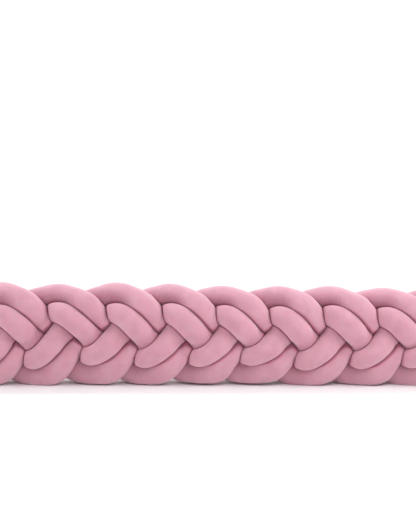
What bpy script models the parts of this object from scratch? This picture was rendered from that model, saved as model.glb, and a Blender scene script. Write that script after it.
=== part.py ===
"""Crib bumper: three pairs of stuffed velour tubes, plaited flat and stood on the lower edge of the plait.

X runs along the bumper, Z is up and the room side faces -Y. The origin is on the floor under the middle.
"""

import math

import bpy
import numpy as np

MM = 0.001

# The even plait, in millimetres. A lobe is one turn of a pair at the upper or the lower edge.
LOBES = 12  # lobes along the upper edge
PITCH = 87.6  # from one lobe to the next
SWING = 49.8  # height of a pair's path above and below the middle
SWING_3 = 0.5  # fuller tops to the turns
TUBE_OFFSET = 13.6  # of each tube from the middle of its pair
DEPTH = 18.8  # of a pair's path in front of and behind the middle
DEPTH_4 = 1.0
DEPTH_INNER = 6.6  # the tube on the inside of a turn passes this much further out
DEPTH_INNER_3 = 2.9
LEAN = 7.2  # the outer tube of a turn runs ahead along the bumper
LEAN_PAIR = 1.5  # both tubes of a pair lie closer to the turns

# One stuffed tube.
DIAMETER = 34.5  # of the tube lying free
APEX_RADIUS = 14.1  # from its axis to its edge at the top of a turn
FLATTENED = 0.10  # at the turns, as a part of the diameter
SOFTNESS = 7.3  # how sharply a tube meets its neighbours
CLEARANCE = 1.1  # left by each tube on its own side
BEND_CLEARANCE = 1.5  # and this much more where the tubes bend together near the ends
BEND_CLEARED = 0.7  # of the bend's length, from where it starts
SQUASH = 3.0  # how far the lower lobes are pressed flat on the floor

# Both ends: the plait runs out, and the six tubes lie side by side.
RUN_OUT = 1.2  # length in which the plait runs out, in pitches
BEND_LENGTH = 1.6  # length in which the tubes come together, in pitches
LAST_LENGTH = 9.0  # straight length after it
TIP_LENGTH = 15.0  # rounded end of a tube
TIP_ANGLES = (0.0, 25.0, 50.0, 75.0)  # of its rings, in degrees round the end
STACK_WIDTH = 15.8  # of a tube's axis from the middle plane
STACK_Z = {"lowest": -64.0, "second": -36.5, "third": -11.5, "top": 19.0}

RINGS = 122
SIDES = 12
SAMPLES = 1200  # points on a tube's axis that its rings and its neighbours are measured from
REACHED = 90.0  # tubes further along the bumper than this don't press on a ring
SLIMMEST, FULLEST = 0.3, 0.68  # limits of the search for a section's radius, as parts of the diameter
HALVINGS = 24  # steps of that search
VELOUR_PINK = (0.73, 0.38, 0.46)

# One row for each upper lobe, from the left, and the lower lobe to the right of it: how far the upper lobe,
# the middle and the lower lobe are pulled along the bumper, the height, and how far the crease in the upper
# lobe, the middle, the crease in the lower lobe and its lower edge lie above their even places.
LOBE_COLUMNS = (
    "upper_shift", "middle_shift", "lower_shift",
    "height", "upper_crease_lift", "middle_lift", "lower_crease_lift", "lower_lift",
)
LOBE_ROWS = (
    (0.0, 0.0, 0.0, 157.0, 0.0, 0.0, 2.5, 0.0),
    (-1.5, 1.7, 4.9, 161.0, 0.0, -2.7, 5.0, 0.0),
    (-2.9, -6.8, 9.2, 163.0, -5.6, 1.8, 6.3, 0.0),
    (2.6, 1.7, 9.1, 159.7, 2.6, 5.3, 12.5, 2.0),
    (8.4, 4.6, 3.9, 162.1, -1.8, 0.7, 7.7, 1.5),
    (8.5, 5.9, 2.1, 159.8, 0.6, 0.7, 10.1, 3.5),
    (3.1, 0.3, -4.6, 156.1, 0.4, 2.9, 12.9, 3.5),
    (7.4, -0.3, -3.3, 155.6, -2.0, -0.8, 4.9, 0.0),
    (0.6, -0.1, 1.3, 155.7, 0.6, -0.1, 8.4, 1.0),
    (-0.9, -4.9, -6.4, 152.3, -0.1, 2.1, 9.7, 0.0),
    (0.7, 0.8, 1.0, 155.0, 0.0, 0.4, 4.0, 0.0),
    (0.0, 0.0, 0.0, 159.0, 0.0, 0.0, 0.0, 0.0),
)
# Even heights of the creases, the middle and the top.
LOWER_CREASE_Z = 26.0
MIDDLE_Z = 78.0
UPPER_CREASE_Z = 126.0
TOP_Z = 157.0
LEVEL_PART = 0.27  # of a pitch to both sides of a lower lobe that is lifted evenly

# One row for each tube: its name, its pair, whether it is outside (1) or inside (-1) in the upper turns,
# its place in the stack at the ends, the side of the stack and how far its tips stand out.
TUBES = (
    ("first_upper_tube", 0, 1, "top", -1, 2.0),
    ("first_lower_tube", 0, -1, "third", -1, -3.0),
    ("second_upper_tube", 1, 1, "top", 1, -2.0),
    ("second_lower_tube", 1, -1, "third", 1, 1.0),
    ("third_upper_tube", 2, 1, "second", 0, 3.0),
    ("third_lower_tube", 2, -1, "lowest", 0, -1.0),
)

HALF = (LOBES - 1) / 2 * PITCH + (0.5 + RUN_OUT / 2) * PITCH  # from the middle to where the plait has stopped
EVEN_HEIGHT = 2 * (SWING + SWING_3 + TUBE_OFFSET + APEX_RADIUS)
FLOOR = -EVEN_HEIGHT / 2 + SQUASH


def eased(part):
    part = np.clip(part, 0, 1)
    return part**2 * (3 - 2 * part)


def lobe_column(name, lobes, between):
    """A column of the lobe table, eased from row to row. Lobe 1 is the first row."""
    values = np.array([row[LOBE_COLUMNS.index(name)] for row in LOBE_ROWS])
    places = np.arange(1, LOBES + 1) + between
    away = np.clip(np.abs(lobes[:, None] - places[None, :]), 0, 1)
    weight = np.cos(away * math.pi / 2) ** 2
    weight[:, 0] += lobes < places[0]
    weight[:, -1] += lobes > places[-1]
    return (weight * values).sum(axis=1) / weight.sum(axis=1)


def lobes_passed(along):
    """How far the plait has turned, in lobes, at a distance from its middle. Both ends don't turn."""
    middle = (LOBES + 1) / 2
    left = np.clip((HALF - np.abs(along)) / PITCH, 0, RUN_OUT)
    lost = RUN_OUT / 2 - left + left**2 / (2 * RUN_OUT)
    outside = np.maximum(np.abs(along) - HALF, 0) / PITCH
    return middle + along / PITCH - np.sign(along) * (lost + outside)


def to_the_end(along):
    """0 along the plait, rising to 1 where the tubes lie in the stack."""
    return np.clip((np.abs(along) - HALF) / (BEND_LENGTH * PITCH) + 1, 0, 1)


def centre_line(pair, outer, place, side, along):
    """Points on a tube's axis, for distances along the bumper from its middle."""
    turn = 2 * math.pi / 3 * (lobes_passed(along) - pair)
    x = along + outer * LEAN * np.sin(turn) + LEAN_PAIR * np.sin(2 * turn)
    y = outer * (DEPTH_INNER * np.sin(turn) + DEPTH_INNER_3 * np.sin(3 * turn))
    y = y - DEPTH * np.sin(2 * turn) + DEPTH_4 * np.sin(4 * turn)
    z = SWING * np.cos(turn) + SWING_3 * np.cos(3 * turn) + outer * TUBE_OFFSET
    stacked = eased(to_the_end(along))
    x = x + stacked * (along - x)
    y = y + stacked * (side * STACK_WIDTH - y)
    z = z + stacked * (STACK_Z[place] - z)
    lobes = x / PITCH + (LOBES + 1) / 2
    share = (z - FLOOR) / EVEN_HEIGHT
    upper, lower = eased(2 * share - 1), eased(1 - 2 * share)
    x = x + upper * lobe_column("upper_shift", lobes, 0) + lower * lobe_column("lower_shift", lobes, 0.5)
    x = x + (1 - upper - lower) * lobe_column("middle_shift", lobes, 0.5)
    z = (z - FLOOR) * lobe_column("height", lobes, 0) / (EVEN_HEIGHT - SQUASH)
    return np.stack([x, y, z], axis=1)


def lift(x, z):
    """How far points lie above their even places."""
    lobes = x / PITCH + (LOBES + 1) / 2
    nearest = np.floor(lobes) + 0.5
    beyond = np.clip((np.abs(lobes - nearest) - LEVEL_PART) / (0.5 - LEVEL_PART), 0, 1)
    edge = lobe_column("lower_lift", nearest + np.sign(lobes - nearest) * beyond / 2, 0.5)
    lower = lobe_column("lower_crease_lift", lobes, 0.5)
    middle = lobe_column("middle_lift", lobes, 0.5)
    upper = lobe_column("upper_crease_lift", lobes, 0)
    lifted = edge + (lower - edge) * eased(z / LOWER_CREASE_Z)
    lifted = lifted + (middle - lower) * eased((z - LOWER_CREASE_Z) / (MIDDLE_Z - LOWER_CREASE_Z))
    lifted = lifted + (upper - middle) * eased((z - MIDDLE_Z) / (UPPER_CREASE_Z - MIDDLE_Z))
    return lifted - upper * eased((z - UPPER_CREASE_Z) / (TOP_Z - UPPER_CREASE_Z))


def free_length(centre, rays, others):
    """For each ray from a tube's axis, 1 / the distance at which another tube's axis is as near."""
    most = np.zeros(rays.shape[:2] + (len(others),))
    for i, point in enumerate(centre):
        for j, other in enumerate(others):
            near = other[np.abs(other[:, 0] - point[0]) < REACHED] - point
            most[i, :, j] = (2 * rays[i] @ near.T / (near**2).sum(axis=1)).max(axis=1)
    return np.maximum(most, 0)


def section(centre, flat, others):
    """Distances from the axis to the surface, ring by ring: an oval pressed flat where tubes meet."""
    ahead = np.gradient(centre, axis=0)
    ahead /= np.linalg.norm(ahead, axis=1)[:, None]
    up = np.cross(ahead, (0.0, 1.0, 0.0))
    up /= np.linalg.norm(up, axis=1)[:, None]
    out = np.cross(ahead, up)
    angle = np.arange(SIDES) * 2 * math.pi / SIDES
    rays = np.cos(angle)[None, :, None] * up[:, None] + np.sin(angle)[None, :, None] * out[:, None]
    pressed = (free_length(centre, rays, others) ** SOFTNESS).sum(axis=2)
    flat = (1 - FLATTENED * flat)[:, None]
    oval = 1 / np.sqrt((np.cos(angle) / flat) ** 2 + (np.sin(angle) * flat) ** 2)
    area = math.pi * DIAMETER**2 / 4
    small = np.full(len(centre), SLIMMEST * DIAMETER)
    large = np.full(len(centre), FULLEST * DIAMETER)
    for _ in range(HALVINGS):
        radius = (small + large) / 2
        reach = ((radius[:, None] * oval) ** -SOFTNESS + pressed) ** (-1 / SOFTNESS)
        too_large = (reach**2).sum(axis=1) * math.pi / SIDES > area
        large = np.where(too_large, radius, large)
        small = np.where(too_large, small, radius)
    return rays, reach


def evenly_spaced(row, end):
    """Distances along the bumper that are equal steps along the tube itself."""
    along = np.linspace(-end, end, SAMPLES)
    steps = np.linalg.norm(np.diff(centre_line(*row[1:5], along), axis=0), axis=1)
    length = np.concatenate([[0], np.cumsum(steps)])
    return np.interp(np.linspace(0, length[-1], RINGS + 2 - 2 * len(TIP_ANGLES)), length, along)


def loft_faces(count):
    """Faces between rings of points whose sections differ, with the two tip points last in the list."""
    faces = []
    first_tip, last_tip, last_ring = count * SIDES, count * SIDES + 1, (count - 1) * SIDES
    for j in range(SIDES):
        k = (j + 1) % SIDES
        for here in range(0, last_ring, SIDES):
            faces.append((here + j, here + k, here + SIDES + k, here + SIDES + j))
        faces.append((first_tip, k, j))
        faces.append((last_tip, last_ring + j, last_ring + k))
    return faces


def add_tube(collection, row, axes):
    name, pair, outer, place, side, stands_out = row
    end = HALF + LAST_LENGTH + stands_out
    tips = end + TIP_LENGTH * np.sin(np.radians(TIP_ANGLES))
    along = np.concatenate([-tips[::-1], evenly_spaced(row, end)[1:-1], tips])
    shrink = np.cos(np.arcsin(np.clip((np.abs(along) - end) / TIP_LENGTH, 0, 1)))
    centre = centre_line(pair, outer, place, side, along)
    others = [axis for other, axis in axes.items() if other != name]
    turn = 2 * math.pi / 3 * (lobes_passed(along) - pair)
    rays, reach = section(centre, np.cos(turn) ** 2, others)
    bent = np.sin(math.pi * np.clip(to_the_end(along) / BEND_CLEARED, 0, 1)) ** 0.5
    clear = (CLEARANCE + BEND_CLEARANCE * bent)[:, None]
    points = centre[:, None] + (reach * shrink[:, None] - clear)[:, :, None] * rays
    points[:, :, 2] = np.maximum(points[:, :, 2], 0)
    ends = points[[0, -1]].mean(axis=1)
    ends[:, 0] = (-end - TIP_LENGTH, end + TIP_LENGTH)
    vertices = np.concatenate([points.reshape(-1, 3), ends])
    vertices[:, 2] += lift(vertices[:, 0], vertices[:, 2])
    mesh = bpy.data.meshes.new(name)
    mesh.from_pydata((vertices * MM).tolist(), [], loft_faces(len(along)))
    mesh.materials.append(bpy.data.materials[name + "_velour"])
    for polygon in mesh.polygons:
        polygon.use_smooth = True
    mesh.update()
    collection.objects.link(bpy.data.objects.new(name, mesh))


def add_material(name):
    material = bpy.data.materials.new(name + "_velour")
    material.use_nodes = True
    shader = material.node_tree.nodes["Principled BSDF"]
    shader.inputs["Base Color"].default_value = (*VELOUR_PINK, 1.0)
    shader.inputs["Roughness"].default_value = 0.9


def main():
    for obj in list(bpy.data.objects):
        bpy.data.objects.remove(obj, do_unlink=True)
    collection = bpy.data.collections.new("crib_bumper")
    bpy.context.scene.collection.children.link(collection)
    reach = HALF + LAST_LENGTH + TIP_LENGTH
    along = np.linspace(-reach, reach, SAMPLES)
    axes = {}
    for name, pair, outer, place, side, _ in TUBES:
        axes[name] = centre_line(pair, outer, place, side, along)
    for row in TUBES:
        add_material(row[0])
        add_tube(collection, row, axes)


main()
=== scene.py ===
import math

import bpy
import numpy as np
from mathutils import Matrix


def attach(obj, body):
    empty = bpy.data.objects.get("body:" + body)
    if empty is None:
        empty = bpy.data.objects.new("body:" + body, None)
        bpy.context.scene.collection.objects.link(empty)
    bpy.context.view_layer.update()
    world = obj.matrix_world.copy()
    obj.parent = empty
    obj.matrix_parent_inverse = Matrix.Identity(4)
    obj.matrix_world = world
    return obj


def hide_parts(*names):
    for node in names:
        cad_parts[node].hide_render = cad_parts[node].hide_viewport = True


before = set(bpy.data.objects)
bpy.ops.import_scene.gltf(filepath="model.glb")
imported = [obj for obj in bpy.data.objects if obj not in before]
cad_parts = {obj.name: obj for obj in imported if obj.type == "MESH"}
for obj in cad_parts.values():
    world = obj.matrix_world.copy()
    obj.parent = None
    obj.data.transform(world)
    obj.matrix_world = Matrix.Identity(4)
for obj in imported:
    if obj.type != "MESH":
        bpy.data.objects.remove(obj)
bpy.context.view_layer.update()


# ---- The three pairs of tubes --------------------------------------------------------------------
# A flat plait of three strands. Each strand is a pair of soft tubes that lie side by side, one over
# the other. This section has the way of every tube through the plait, in millimetres. It is the
# same as that of the plain solids. A lobe is one turn of a pair at the upper or the lower edge.

LOBES = 12  # lobes along the upper edge
PITCH = 87.6  # from one lobe to the next
SWING = 49.8  # height of a pair's path above and below the middle
SWING_3 = 0.5  # fuller tops to the turns
TUBE_OFFSET = 13.6  # of each tube from the middle of its pair
DEPTH = 18.8  # of a pair's path in front of and behind the middle
DEPTH_4 = 1.0
DEPTH_INNER = 6.6  # the tube on the inside of a turn passes this much further out
DEPTH_INNER_3 = 2.9
LEAN = 7.2  # the outer tube of a turn runs ahead along the bumper
LEAN_PAIR = 1.5  # both tubes of a pair lie closer to the turns
APEX_RADIUS = 14.1  # of a plain tube, from its axis to its edge at the top of a turn
SQUASH = 3.0  # how far the lower lobes are pressed flat on the floor
RUN_OUT = 1.2  # length in which the plait runs out, in pitches
BEND_LENGTH = 1.6  # length in which the tubes come together, in pitches
LAST_LENGTH = 9.0  # straight length after it
TIP_LENGTH = 15.0  # drawn end of a tube
STACK_WIDTH = 15.8  # of a tube's axis from the middle plane
STACK_Z = {"lowest": -64.0, "second": -36.5, "third": -11.5, "top": 19.0}

# One row for each upper lobe, from the left, and the lower lobe to the right of it: how far the
# upper lobe, the middle and the lower lobe are pulled along the bumper, the height, and how far
# the crease in the upper lobe, the middle, the crease in the lower lobe and its lower edge lie
# above their even places.
LOBE_COLUMNS = (
    "upper_shift", "middle_shift", "lower_shift",
    "height", "upper_crease_lift", "middle_lift", "lower_crease_lift", "lower_lift",
)
LOBE_ROWS = (
    (0.0, 0.0, 0.0, 157.0, 0.0, 0.0, 2.5, 0.0),
    (-1.5, 1.7, 4.9, 161.0, 0.0, -2.7, 5.0, 0.0),
    (-2.9, -6.8, 9.2, 163.0, -5.6, 1.8, 6.3, 0.0),
    (2.6, 1.7, 9.1, 159.7, 2.6, 5.3, 12.5, 2.0),
    (8.4, 4.6, 3.9, 162.1, -1.8, 0.7, 7.7, 1.5),
    (8.5, 5.9, 2.1, 159.8, 0.6, 0.7, 10.1, 3.5),
    (3.1, 0.3, -4.6, 156.1, 0.4, 2.9, 12.9, 3.5),
    (7.4, -0.3, -3.3, 155.6, -2.0, -0.8, 4.9, 0.0),
    (0.6, -0.1, 1.3, 155.7, 0.6, -0.1, 8.4, 1.0),
    (-0.9, -4.9, -6.4, 152.3, -0.1, 2.1, 9.7, 0.0),
    (0.7, 0.8, 1.0, 155.0, 0.0, 0.4, 4.0, 0.0),
    (0.0, 0.0, 0.0, 159.0, 0.0, 0.0, 0.0, 0.0),
)
# Even heights of the creases, the middle and the top.
LOWER_CREASE_Z = 26.0
MIDDLE_Z = 78.0
UPPER_CREASE_Z = 126.0
TOP_Z = 157.0
LEVEL_PART = 0.27  # of a pitch to both sides of a lower lobe that is lifted evenly

# One row for each tube: its name, its pair, outside (1) or inside (-1) in the upper lobes, its
# place and side in the stack at the ends, and how far its tips stand out.
TUBES = (
    ("first_upper_tube", 0, 1, "top", -1, 2.0),
    ("first_lower_tube", 0, -1, "third", -1, -3.0),
    ("second_upper_tube", 1, 1, "top", 1, -2.0),
    ("second_lower_tube", 1, -1, "third", 1, 1.0),
    ("third_upper_tube", 2, 1, "second", 0, 3.0),
    ("third_lower_tube", 2, -1, "lowest", 0, -1.0),
)

HALF = (LOBES - 1) / 2 * PITCH + (0.5 + RUN_OUT / 2) * PITCH
EVEN_HEIGHT = 2 * (SWING + SWING_3 + TUBE_OFFSET + APEX_RADIUS)
FLOOR = -EVEN_HEIGHT / 2 + SQUASH


def eased(part):
    part = np.clip(part, 0, 1)
    return part**2 * (3 - 2 * part)


def lobe_column(name, lobes, between):
    """A column of LOBE_ROWS at places along the bumper, counted in lobes."""
    values = np.array([row[LOBE_COLUMNS.index(name)] for row in LOBE_ROWS])
    places = np.arange(1, LOBES + 1) + between
    away = np.clip(np.abs(lobes[:, None] - places[None, :]), 0, 1)
    weight = np.cos(away * math.pi / 2) ** 2
    weight[:, 0] += lobes < places[0]
    weight[:, -1] += lobes > places[-1]
    return (weight * values).sum(axis=1) / weight.sum(axis=1)


def lobes_passed(along):
    left = np.clip((HALF - np.abs(along)) / PITCH, 0, RUN_OUT)
    lost = RUN_OUT / 2 - left + left**2 / (2 * RUN_OUT)
    outside = np.maximum(np.abs(along) - HALF, 0) / PITCH
    return (LOBES + 1) / 2 + along / PITCH - np.sign(along) * (lost + outside)


def to_the_end(along):
    return np.clip((np.abs(along) - HALF) / (BEND_LENGTH * PITCH) + 1, 0, 1)


def centre_line(pair, outer, place, side, along):
    """Points on a tube's axis, before lift() moves them up."""
    turn = 2 * math.pi / 3 * (lobes_passed(along) - pair)
    x = along + outer * LEAN * np.sin(turn) + LEAN_PAIR * np.sin(2 * turn)
    y = outer * (DEPTH_INNER * np.sin(turn) + DEPTH_INNER_3 * np.sin(3 * turn))
    y = y - DEPTH * np.sin(2 * turn) + DEPTH_4 * np.sin(4 * turn)
    z = SWING * np.cos(turn) + SWING_3 * np.cos(3 * turn) + outer * TUBE_OFFSET
    stacked = eased(to_the_end(along))
    x = x + stacked * (along - x)
    y = y + stacked * (side * STACK_WIDTH - y)
    z = z + stacked * (STACK_Z[place] - z)
    lobes = x / PITCH + (LOBES + 1) / 2
    share = (z - FLOOR) / EVEN_HEIGHT
    upper, lower = eased(2 * share - 1), eased(1 - 2 * share)
    upper_shift = lobe_column("upper_shift", lobes, 0)
    middle_shift = lobe_column("middle_shift", lobes, 0.5)
    lower_shift = lobe_column("lower_shift", lobes, 0.5)
    x = x + upper * upper_shift + lower * lower_shift
    x = x + (1 - upper - lower) * middle_shift
    z = (z - FLOOR) * lobe_column("height", lobes, 0) / (EVEN_HEIGHT - SQUASH)
    return np.stack([x, y, z], axis=1)


def lift(x, z):
    """How far a point on the tubes lies above its even place."""
    lobes = x / PITCH + (LOBES + 1) / 2
    nearest = np.floor(lobes) + 0.5
    beyond = np.clip((np.abs(lobes - nearest) - LEVEL_PART) / (0.5 - LEVEL_PART), 0, 1)
    edge = lobe_column("lower_lift", nearest + np.sign(lobes - nearest) * beyond / 2, 0.5)
    lower = lobe_column("lower_crease_lift", lobes, 0.5)
    middle = lobe_column("middle_lift", lobes, 0.5)
    upper = lobe_column("upper_crease_lift", lobes, 0)
    above_lower = eased((z - LOWER_CREASE_Z) / (MIDDLE_Z - LOWER_CREASE_Z))
    above_middle = eased((z - MIDDLE_Z) / (UPPER_CREASE_Z - MIDDLE_Z))
    above_upper = eased((z - UPPER_CREASE_Z) / (TOP_Z - UPPER_CREASE_Z))
    lifted = edge + (lower - edge) * eased(z / LOWER_CREASE_Z)
    lifted = lifted + (middle - lower) * above_lower
    lifted = lifted + (upper - middle) * above_middle
    return lifted - upper * above_upper


# ---- The stuffed velour tubes --------------------------------------------------------------------
# Velour sewn into long tubes, stuffed firmly and pressed against each other by the plaiting. Each
# is lofted round its way: an oval that is flattened where a neighbour lies as near as it does
# itself. Lengths are in millimetres.

DIAMETER = 38.0  # of the tube lying free
FLATTENED = 0.10  # at the turns, as a part of the diameter
SOFTNESS = 24.0  # how sharply a tube meets its neighbours
CLEARANCE = 0.12  # left by each tube on its own side
RINGS = 760
SIDES = 72
WAY_POINTS = 4000  # on a tube's axis, that its rings are placed by
NEIGHBOUR_POINTS = 1200  # on a tube's axis, that its neighbours are measured from
NEIGHBOUR_MORE = 6.0  # that such a way reaches past the tip
REACHED = 90.0  # tubes further along the bumper than this don't press on a ring
SLIMMEST, FULLEST = 0.3, 0.68  # limits of the search for a section's radius, in diameters
HALVINGS = 24  # steps of that search

# The ends are drawn together: rings that close over the end, and tuck in at the middle of it. One
# row for each ring: its width, as a part of the tube's, and how far out it lies on the tip.
CLOSING = (
    (0.98, 0.17), (0.94, 0.35), (0.86, 0.53), (0.76, 0.68), (0.64, 0.80), (0.52, 0.90),
    (0.40, 0.96), (0.29, 0.995), (0.19, 1.0), (0.11, 0.96), (0.06, 0.86), (0.03, 0.72),
)

# The cloth is gathered on the inside of a bend. A bend is the turn of the way for each millimetre.
INSIDE_FROM = 0.010  # it starts where the way bends away from the cloth by this much
INSIDE_RANGE = 0.013  # and is full this much further towards the inside
PLAIN_RINGS = 20  # at each end, which aren't gathered there

# The cloth settles under the pressure of its filling.
GATHERED = 0.20  # of the cloth's length on the inside of a bend, to spare
SETTLING_FRAMES = 20
ENLARGED = 0.03  # metres for each millimetre while it settles, since the solver suits large cloths
EVERY = 2  # it is simulated at every second ring and side
ROUGH = 0.1  # unevenness that it starts with
HELD_LEAST = 0.1  # of the full hold, where nothing presses on it
WEIGHT_STEPS = 20
MOST_IN, MOST_OUT = 1.2, 0.6  # that it moves

# Unevenness, seam and pleats.
UNEVEN, UNEVEN_LENGTH = 0.35, 70.0
SEAM_DEPTH, SEAM_WIDTH, SEAM_ANGLE = 0.9, 1.6, 1.5 * math.pi
PLEATS, PLEAT_DEPTH, PLEATED_LENGTH, PLEAT_FADE = 13, 0.07, 34.0, 1.5
PLEAT_WANDER, PLEAT_WANDER_LENGTH = 0.9, 50.0
PUCKER_AND_SHADE_LEAST = 0.3  # of the full puckers and painted shade, least at the lower turns
CLOTH_SEED, FILLING_SEED, PLEAT_SEED = 50, 10, 40  # each plus the tube's number


def nearness(centre, rays, others):
    """One over the distance along each ray at which another tube's axis is as near, or 0."""
    most = np.zeros(rays.shape[:2] + (len(others),))
    for i, point in enumerate(centre):
        for j, other in enumerate(others):
            near = other[np.abs(other[:, 0] - point[0]) < REACHED] - point
            most[i, :, j] = (2 * rays[i] @ near.T / (near**2).sum(axis=1)).max(axis=1)
    return np.maximum(most, 0)


def unit(vectors):
    return vectors / np.linalg.norm(vectors, axis=-1, keepdims=True)


def waves(length, angle, wavelength, seed):
    """Smooth uneven hills, about -1 to 1, over the length of a tube and round it."""
    random = np.random.default_rng(seed)
    total = np.zeros(np.broadcast(length, angle).shape)
    for turns in (0, 1, 1, 2, 2, 3):
        each = wavelength * random.uniform(0.7, 1.5)
        begin, twist = random.uniform(0, 2 * math.pi, 2)
        lengthwise = np.sin(2 * math.pi * length / each + begin)
        total = total + lengthwise * np.cos(turns * angle + twist)
    return total / 3


def ring_faces(count, sides):
    """The faces between rings of points, each ring with the next one."""
    ring, spoke = np.meshgrid(np.arange(count - 1), np.arange(sides), indexing="ij")
    here, there = ring * sides + spoke, ring * sides + (spoke + 1) % sides
    return np.stack([here, there, there + sides, here + sides], axis=-1).reshape(-1, 4).tolist()


def settled(start, gathered, held):
    """Where the points of a tube's cloth come to rest, as rings of points at the enlarged size.

    The cloth is blown up a little by its filling. It has some length to spare where it is
    gathered, on the inside of a bend, and is held where the tubes press on each other.
    """
    count, sides = start.shape[:2]
    mesh = bpy.data.meshes.new("cloth")
    faces = ring_faces(count, sides)
    faces.append(tuple(reversed(range(sides))))
    faces.append(tuple((count - 1) * sides + j for j in range(sides)))
    mesh.from_pydata(start.reshape(-1, 3).tolist(), [], faces)
    cloth = bpy.data.objects.new("cloth", mesh)
    bpy.context.scene.collection.objects.link(cloth)
    for name, weights in (("gathered", gathered), ("held", held)):
        group = cloth.vertex_groups.new(name=name)
        steps = np.round(weights.reshape(-1) * WEIGHT_STEPS).astype(int)
        for step in range(1, WEIGHT_STEPS + 1):
            points = np.flatnonzero(steps == step).tolist()
            group.add(points, step / WEIGHT_STEPS, "REPLACE")
    settings = cloth.modifiers.new("cloth", "CLOTH").settings
    settings.quality = 5
    settings.mass = 0.3
    settings.tension_stiffness = 50
    settings.compression_stiffness = 50
    settings.shear_stiffness = 5
    settings.bending_stiffness = 0.005
    settings.use_pressure = True
    settings.uniform_pressure_force = 4.0
    settings.vertex_group_mass = "held"
    settings.pin_stiffness = 1.0
    settings.vertex_group_shrink = "gathered"
    settings.shrink_min = 0.0
    settings.shrink_max = -GATHERED
    settings.effector_weights.gravity = 0.0
    scene = bpy.context.scene
    for frame_number in range(1, SETTLING_FRAMES + 1):
        scene.frame_set(frame_number)
    shaped = cloth.evaluated_get(bpy.context.evaluated_depsgraph_get()).to_mesh()
    rest = np.empty(count * sides * 3, np.float32)
    shaped.vertices.foreach_get("co", rest)
    bpy.data.objects.remove(cloth, do_unlink=True)
    bpy.data.meshes.remove(mesh)
    scene.frame_set(1)
    return rest.reshape(count, sides, 3).astype(float)


def spread(coarse, rows, every):
    """Values at every so many rings and sides, filled in smoothly at all of them."""
    at = np.arange(0, rows, every)
    filled = np.stack([np.interp(np.arange(rows), at, column) for column in coarse.T], axis=1)
    wide = np.concatenate([filled, filled[:, :1]], axis=1)
    sides = np.arange(0, wide.shape[1] * every, every)
    all_sides = np.arange(filled.shape[1] * every)
    filled = np.stack([np.interp(all_sides, sides, row) for row in wide])
    for axis in (0, 1):
        filled = (np.roll(filled, 1, axis) + 2 * filled + np.roll(filled, -1, axis)) / 4
    return filled


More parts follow.
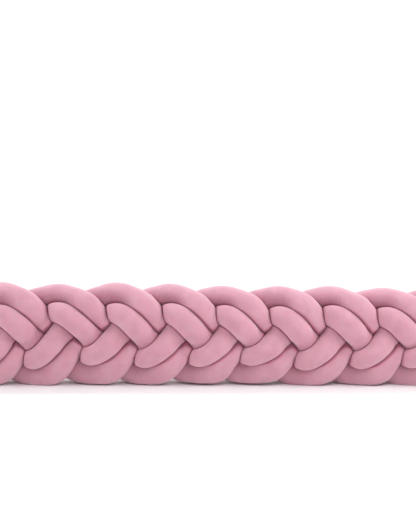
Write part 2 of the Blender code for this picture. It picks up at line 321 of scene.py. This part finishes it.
def add_tube(name, pair, outer, place, side, stands_out, others, number):
    end = HALF + LAST_LENGTH + stands_out
    even = np.linspace(-end, end, WAY_POINTS)
    way = centre_line(pair, outer, place, side, even)
    passed = np.linalg.norm(np.diff(way, axis=0), axis=1)
    passed = np.concatenate([[0], np.cumsum(passed)])
    along = np.interp(np.linspace(0, passed[-1], RINGS), passed, even)

    last = np.array([row[0] for row in CLOSING])
    tip = np.array([row[1] for row in CLOSING]) * TIP_LENGTH
    width = np.concatenate([last[::-1], np.ones(RINGS), last])
    centre_at = np.concatenate([-(end + tip)[::-1], along, end + tip])
    centre = centre_line(pair, outer, place, side, centre_at)
    ahead = np.empty_like(centre)
    inside = centre_line(pair, outer, place, side, along)
    ahead[len(tip):-len(tip)] = unit(np.gradient(inside, axis=0))
    ahead[:len(tip)] = ahead[len(tip)]
    ahead[-len(tip):] = ahead[-len(tip) - 1]
    up = unit(np.cross(ahead, (0.0, 1.0, 0.0)))
    out = np.cross(ahead, up)
    angle = np.arange(SIDES) * 2 * math.pi / SIDES
    cosine, sine = np.cos(angle), np.sin(angle)
    rays = cosine[None, :, None] * up[:, None] + sine[None, :, None] * out[:, None]

    turn = 2 * math.pi / 3 * (lobes_passed(centre_at) - pair)
    flat = (1 - FLATTENED * np.cos(turn) ** 2)[:, None]
    oval = 1 / np.sqrt((cosine / flat) ** 2 + (sine * flat) ** 2)
    pressed = (nearness(centre, rays, others) ** SOFTNESS).sum(axis=2)
    small = np.full(len(centre), SLIMMEST * DIAMETER)
    large = np.full(len(centre), FULLEST * DIAMETER)
    for _ in range(HALVINGS):
        radius = (small + large) / 2
        reach = ((radius[:, None] * oval) ** -SOFTNESS + pressed) ** (-1 / SOFTNESS)
        area = (reach**2).sum(axis=1) * math.pi / SIDES
        too_large = area > math.pi * DIAMETER**2 / 4
        large = np.where(too_large, radius, large)
        small = np.where(too_large, small, radius)
    free = 1 - pressed * reach**SOFTNESS

    steps = np.linalg.norm(np.diff(centre, axis=0), axis=1)
    length = np.concatenate([[0], np.cumsum(steps)])
    bend = np.gradient(ahead, axis=0) / np.gradient(length)[:, None]
    inner = ((rays * bend[:, None]).sum(axis=2) + INSIDE_FROM) / INSIDE_RANGE
    inner = np.clip(inner, 0, 1)
    inner[:PLAIN_RINGS] = inner[-PLAIN_RINGS:] = 0

    rings = slice(len(tip), len(tip) + RINGS)
    rough = np.random.default_rng(CLOTH_SEED + number).normal(0, ROUGH, reach.shape)
    start = (centre[:, None] + (reach + rough)[:, :, None] * rays)[rings][::EVERY, ::EVERY]
    spare = inner[rings][::EVERY, ::EVERY]
    hold = eased(2 - 2 * free[rings][::EVERY, ::EVERY])
    hold = HELD_LEAST + (1 - HELD_LEAST) * hold
    moved = settled(start * ENLARGED, spare, hold) / ENLARGED - start
    outward = (moved * rays[rings][::EVERY, ::EVERY]).sum(axis=2)
    outward = outward + rough[rings][::EVERY, ::EVERY]
    outward = spread(np.clip(outward, -MOST_IN, MOST_OUT), RINGS, EVERY)
    outward[0] = outward[-1] = 0
    reach[rings] += eased(2 * free[rings] - 1) * outward

    # The filling is a little uneven, where no other tube presses on it.
    along_it, round_it = length[:, None], angle[None, :]
    hills = waves(along_it, round_it, UNEVEN_LENGTH, FILLING_SEED + number)
    reach = reach + UNEVEN * eased(2 * free - 1) * hills

    # The sewn seam runs along the back.
    seam_away = (np.abs(angle - SEAM_ANGLE) * DIAMETER / 2)[None, :]
    reach = reach - SEAM_DEPTH * np.exp(-((seam_away / SEAM_WIDTH) ** 2))

    # Pleats where the ends are drawn together. They stand out only where no tube presses on them.
    from_end = np.minimum(length, length[-1] - length)
    drawn = np.clip(1 - from_end / PLEATED_LENGTH, 0, 1) ** PLEAT_FADE
    wander = waves(along_it * 0, round_it, PLEAT_WANDER_LENGTH, PLEAT_SEED + number)
    pleat = np.cos(PLEATS * round_it + PLEAT_WANDER * wander)
    pleat = np.where(pleat > 0, pleat * free, pleat)
    reach = reach * width[:, None] * (1 + PLEAT_DEPTH * drawn[:, None] * pleat)
    reach = reach - CLEARANCE * width[:, None]

    points = centre[:, None] + reach[:, :, None] * rays
    points[:, :, 2] = np.maximum(points[:, :, 2], 0)
    flat_points = points.reshape(-1, 3)
    flat_points[:, 2] += lift(flat_points[:, 0], flat_points[:, 2])
    tips = points[[0, -1]].mean(axis=1)
    vertices = np.concatenate([points.reshape(-1, 3), tips]) / 1000
    count = len(centre)
    faces = ring_faces(count, SIDES)
    for j in range(SIDES):
        k = (j + 1) % SIDES
        faces.append((count * SIDES, k, j))
        faces.append((count * SIDES + 1, (count - 1) * SIDES + j, (count - 1) * SIDES + k))
    mesh = bpy.data.meshes.new(name + "_velour")
    mesh.from_pydata(vertices.tolist(), [], faces)
    # Painted shade: the inside of each bend is darkened in the material, most at the upper turns
    # where it faces down; the same values set how strong its streaks are.
    pucker_and_shade_at_turns = PUCKER_AND_SHADE_LEAST + (1 - PUCKER_AND_SHADE_LEAST) * eased(0.5 + np.cos(turn))
    for attribute, values in (
        ("lengthwise", np.repeat(length, SIDES)),
        ("gathers_and_painted_shade", (inner * pucker_and_shade_at_turns[:, None]).reshape(-1)),
        # painted shade in the creases, from how pressed the cloth is
        ("pressed", (1 - free).reshape(-1)),
    ):
        layer = mesh.attributes.new(attribute, "FLOAT", "POINT")
        layer.data.foreach_set("value", np.concatenate([values, [0, 0]]).astype(np.float32))
    for polygon in mesh.polygons:
        polygon.use_smooth = True
    mesh.update()
    tube = bpy.data.objects.new(name + "_velour", mesh)
    bpy.context.scene.collection.objects.link(tube)
    return tube


velour = bpy.data.materials.new("pink_velour")
velour.use_nodes = True
tree = velour.node_tree
shader = tree.nodes["Principled BSDF"]
shader.inputs["Roughness"].default_value = 0.9
shader.inputs["Specular IOR Level"].default_value = 0.2
shader.inputs["Sheen Weight"].default_value = 0.4
shader.inputs["Sheen Roughness"].default_value = 0.3
shader.inputs["Sheen Tint"].default_value = (1.0, 0.66, 0.75, 1.0)
shader.inputs["Subsurface Weight"].default_value = 0.7
shader.inputs["Subsurface Radius"].default_value = (1.0, 0.45, 0.55)
shader.inputs["Subsurface Scale"].default_value = 0.009

PALE_PINK = (0.69, 0.38, 0.46, 1.0)
PINK = (0.625, 0.325, 0.405, 1.0)
# Painted shade, on the inside of the bends
PAINTED_SHADE_PINK = (0.50, 0.23, 0.30, 1.0)
# Painted sheen, seen along the cloth
PAINTED_SHEEN_PINK = (0.95, 0.62, 0.70, 1.0)
# Painted shade, in the creases
CREASE_SHADE_PINK = (0.57, 0.235, 0.32, 1.0)
STREAK_LENGTH = 4.2  # millimetres from one streak of gathered cloth to the next
STREAK_WANDER = 26.0
STREAK_DEPTH = 0.35
MOTTLE, WANDER, PATCHES, GRAIN = (45.0, 4.0), (60.0, 3.0), (24.0, 1.0), (1100.0, 2.0)  # noises
PATCHY = (0.40, 0.60)  # range of the noise that the streaks come and go in
CREASE_SHADE_RANGE = (0.1, 0.6)  # of the pressed attribute, from where the painted crease shade starts to where it is full
PAINTED_SHEEN, PAINTED_SHEEN_POWER = 0.6, 2.5
GRAIN_DEPTH = 0.5


def add_node(kind, inputs, **settings):
    """A shader node with its settings. Each input is set to a value or linked to an output."""
    node = tree.nodes.new("ShaderNode" + kind)
    for name, value in settings.items():
        setattr(node, name, value)
    for key, value in inputs.items():
        if isinstance(value, bpy.types.NodeSocket):
            tree.links.new(value, node.inputs[key])
        else:
            node.inputs[key].default_value = value
    return node


def add_noise(scale, detail):
    where = place_node.outputs["Object"]
    inputs = {"Scale": scale, "Detail": detail, "Vector": where}
    return add_node("TexNoise", inputs).outputs["Fac"]


def add_attribute(name):
    return add_node("Attribute", {}, attribute_name=name).outputs["Fac"]


def add_math(operation, *values):
    return add_node("Math", dict(enumerate(values)), operation=operation).outputs[0]


def add_range(value, low, high):
    inputs = {"Value": value, "From Min": low, "From Max": high}
    return add_node("MapRange", inputs).outputs["Result"]


def add_mix(factor, colour, other):
    inputs = {"Factor": factor, "A": colour, "B": other}
    return add_node("Mix", inputs, data_type="RGBA").outputs["Result"]


place_node = tree.nodes.new("ShaderNodeTexCoord")
colours = add_node("ValToRGB", {"Fac": add_noise(*MOTTLE)})
for stop, position, colour in zip(colours.color_ramp.elements, (0.3, 0.7), (PINK, PALE_PINK)):
    stop.position = position
    stop.color = colour

# Painted shade: the inside of the bends, most at the upper turns, gets a deeper colour, in
# wandering streaks across the tube where the cloth is gathered.
gathers_and_painted_shade = add_attribute("gathers_and_painted_shade")
phase = add_math("MULTIPLY", add_attribute("lengthwise"), 2 * math.pi / STREAK_LENGTH)
crowd = add_math("MULTIPLY_ADD", add_noise(*WANDER), STREAK_WANDER, phase)
patchy = add_math("MULTIPLY", add_range(add_noise(*PATCHES), *PATCHY), gathers_and_painted_shade)
streaks = add_math("MULTIPLY", add_math("SINE", crowd), patchy)
shade_and_streaks = add_math("MULTIPLY_ADD", streaks, STREAK_DEPTH, gathers_and_painted_shade)
shaded = add_mix(shade_and_streaks, colours.outputs["Color"], PAINTED_SHADE_PINK)

# Painted sheen: seen along the cloth, the colour turns paler, standing in for the light that the
# ends of the pile catch.
grazing = add_node("LayerWeight", {"Blend": 0.5}).outputs["Facing"]
painted_sheen_amount = add_math("MULTIPLY", add_math("POWER", grazing, PAINTED_SHEEN_POWER), PAINTED_SHEEN)
with_painted_sheen = add_mix(painted_sheen_amount, shaded, PAINTED_SHEEN_PINK)

# Painted shade: where tubes press on each other, in the creases, the colour is deeper.
crease_shade = add_range(add_attribute("pressed"), *CREASE_SHADE_RANGE)
crease_shaded = add_mix(crease_shade, with_painted_sheen, CREASE_SHADE_PINK)
tree.links.new(crease_shaded, shader.inputs["Base Color"])

# The pile and the streaks stand out a little.
pile = add_math("MULTIPLY_ADD", add_noise(*GRAIN), GRAIN_DEPTH, streaks)
bump = add_node("Bump", {"Strength": 0.5, "Distance": 0.0003, "Height": pile})
tree.links.new(bump.outputs["Normal"], shader.inputs["Normal"])

reach_out = HALF + LAST_LENGTH + TIP_LENGTH + NEIGHBOUR_MORE
way_along = np.linspace(-reach_out, reach_out, NEIGHBOUR_POINTS)
ways = {row[0]: centre_line(*row[1:5], way_along) for row in TUBES}
for number, row in enumerate(TUBES):
    others = [way for name, way in ways.items() if name != row[0]]
    tube = add_tube(*row, others, number)
    tube.data.materials.append(velour)
    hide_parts(row[0])
    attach(tube, "root")


# ---- The floor -----------------------------------------------------------------------------------
# A plain pale sweep: flat under the bumper and rising behind it. Lengths are in metres.

FLOOR_FRONT, FLOOR_BACK, FLOOR_RISE, FLOOR_WIDE = -4.0, 2.4, 2.2, 6.0
FLOOR_BEND, FLOOR_BEND_STEPS = 0.9, 12
bend_points = []
for step in range(FLOOR_BEND_STEPS + 1):
    lean = math.radians(step * 90 / FLOOR_BEND_STEPS)
    back, rise = FLOOR_BEND * math.sin(lean), FLOOR_BEND * (1 - math.cos(lean))
    bend_points.append((FLOOR_BACK + back, rise))
top = (FLOOR_BACK + FLOOR_BEND, FLOOR_BEND + FLOOR_RISE)
profile = [(FLOOR_FRONT, 0.0), *bend_points, top]
floor_mesh = bpy.data.meshes.new("floor")
floor_mesh.from_pydata(
    [(x, y, z) for y, z in profile for x in (-FLOOR_WIDE, FLOOR_WIDE)],
    [],
    [(2 * i, 2 * i + 1, 2 * i + 3, 2 * i + 2) for i in range(len(profile) - 1)],
)
for polygon in floor_mesh.polygons:
    polygon.use_smooth = True
floor = bpy.data.objects.new("floor", floor_mesh)
bpy.context.scene.collection.objects.link(floor)
pale = bpy.data.materials.new("pale_floor")
pale.use_nodes = True
pale_shader = pale.node_tree.nodes["Principled BSDF"]
pale_shader.inputs["Base Color"].default_value = (0.93, 0.95, 0.95, 1.0)
pale_shader.inputs["Roughness"].default_value = 0.8
floor_mesh.materials.append(pale)


# ---- Light and camera ----------------------------------------------------------------------------
# Soft studio lights at both sides, above and in front, one on the backdrop, and a camera low in
# front of the bumper. Lengths are in metres.

AIM = (0.022, 0.0, 0.0804)
LIGHT_DISTANCE = 2.4
LIGHT_SIZE = (1.5, 1.2)
LIGHTS = (  # direction to the right of the front and height, in degrees; power
    ("above", 0, 80, 2.0),
    ("front", 0, 15, 5.0),
    ("right", 40, 45, 20.0),
    ("far_right", 75, 45, 20.0),
    ("left", -75, 30, 17.0),
    ("left_behind", -120, 40, 7.0),
)


def add_light(name, size, power, location, rotation):
    data = bpy.data.lights.new(name, "AREA")
    data.shape = "RECTANGLE"
    data.size, data.size_y = size
    data.energy = power
    light = bpy.data.objects.new(name, data)
    light.location = location
    light.rotation_euler = rotation
    bpy.context.scene.collection.objects.link(light)


for name, round_it, height, power in LIGHTS:
    turned, raised = math.radians(round_it), math.radians(height)
    location = (
        AIM[0] + LIGHT_DISTANCE * math.cos(raised) * math.sin(turned),
        AIM[1] - LIGHT_DISTANCE * math.cos(raised) * math.cos(turned),
        AIM[2] + LIGHT_DISTANCE * math.sin(raised),
    )
    add_light(name, LIGHT_SIZE, power, location, (math.pi / 2 - raised, 0.0, turned))
add_light("backdrop", (5.0, 0.8), 60.0, (0.0, 0.9, 2.4), (math.radians(48.0), 0.0, 0.0))

world = bpy.data.worlds.new("studio")
world.use_nodes = True
background = world.node_tree.nodes["Background"]
background.inputs["Color"].default_value = (1.0, 1.0, 1.0, 1.0)
background.inputs["Strength"].default_value = 0.3
bpy.context.scene.world = world

LENS, SENSOR = 90.0, 36.0
VIEW_HEIGHT = 0.8424  # of the whole picture, at the bumper
VIEW_SHIFT = 74.5 / 520  # of the picture's height, since the bumper is low in it
ELEVATION = math.radians(9.0)
camera_data = bpy.data.cameras.new("camera")
camera_data.lens = LENS
camera_data.sensor_width = SENSOR
camera_data.shift_y = VIEW_SHIFT
camera_data.clip_end = 50.0
camera = bpy.data.objects.new("camera", camera_data)
away = VIEW_HEIGHT * LENS / SENSOR
camera.location = (
    AIM[0],
    AIM[1] - away * math.cos(ELEVATION),
    AIM[2] + away * math.sin(ELEVATION),
)
camera.rotation_euler = (math.pi / 2 - ELEVATION, 0.0, 0.0)
bpy.context.scene.collection.objects.link(camera)
bpy.context.scene.camera = camera
bpy.context.scene.view_settings.view_transform = "Standard"
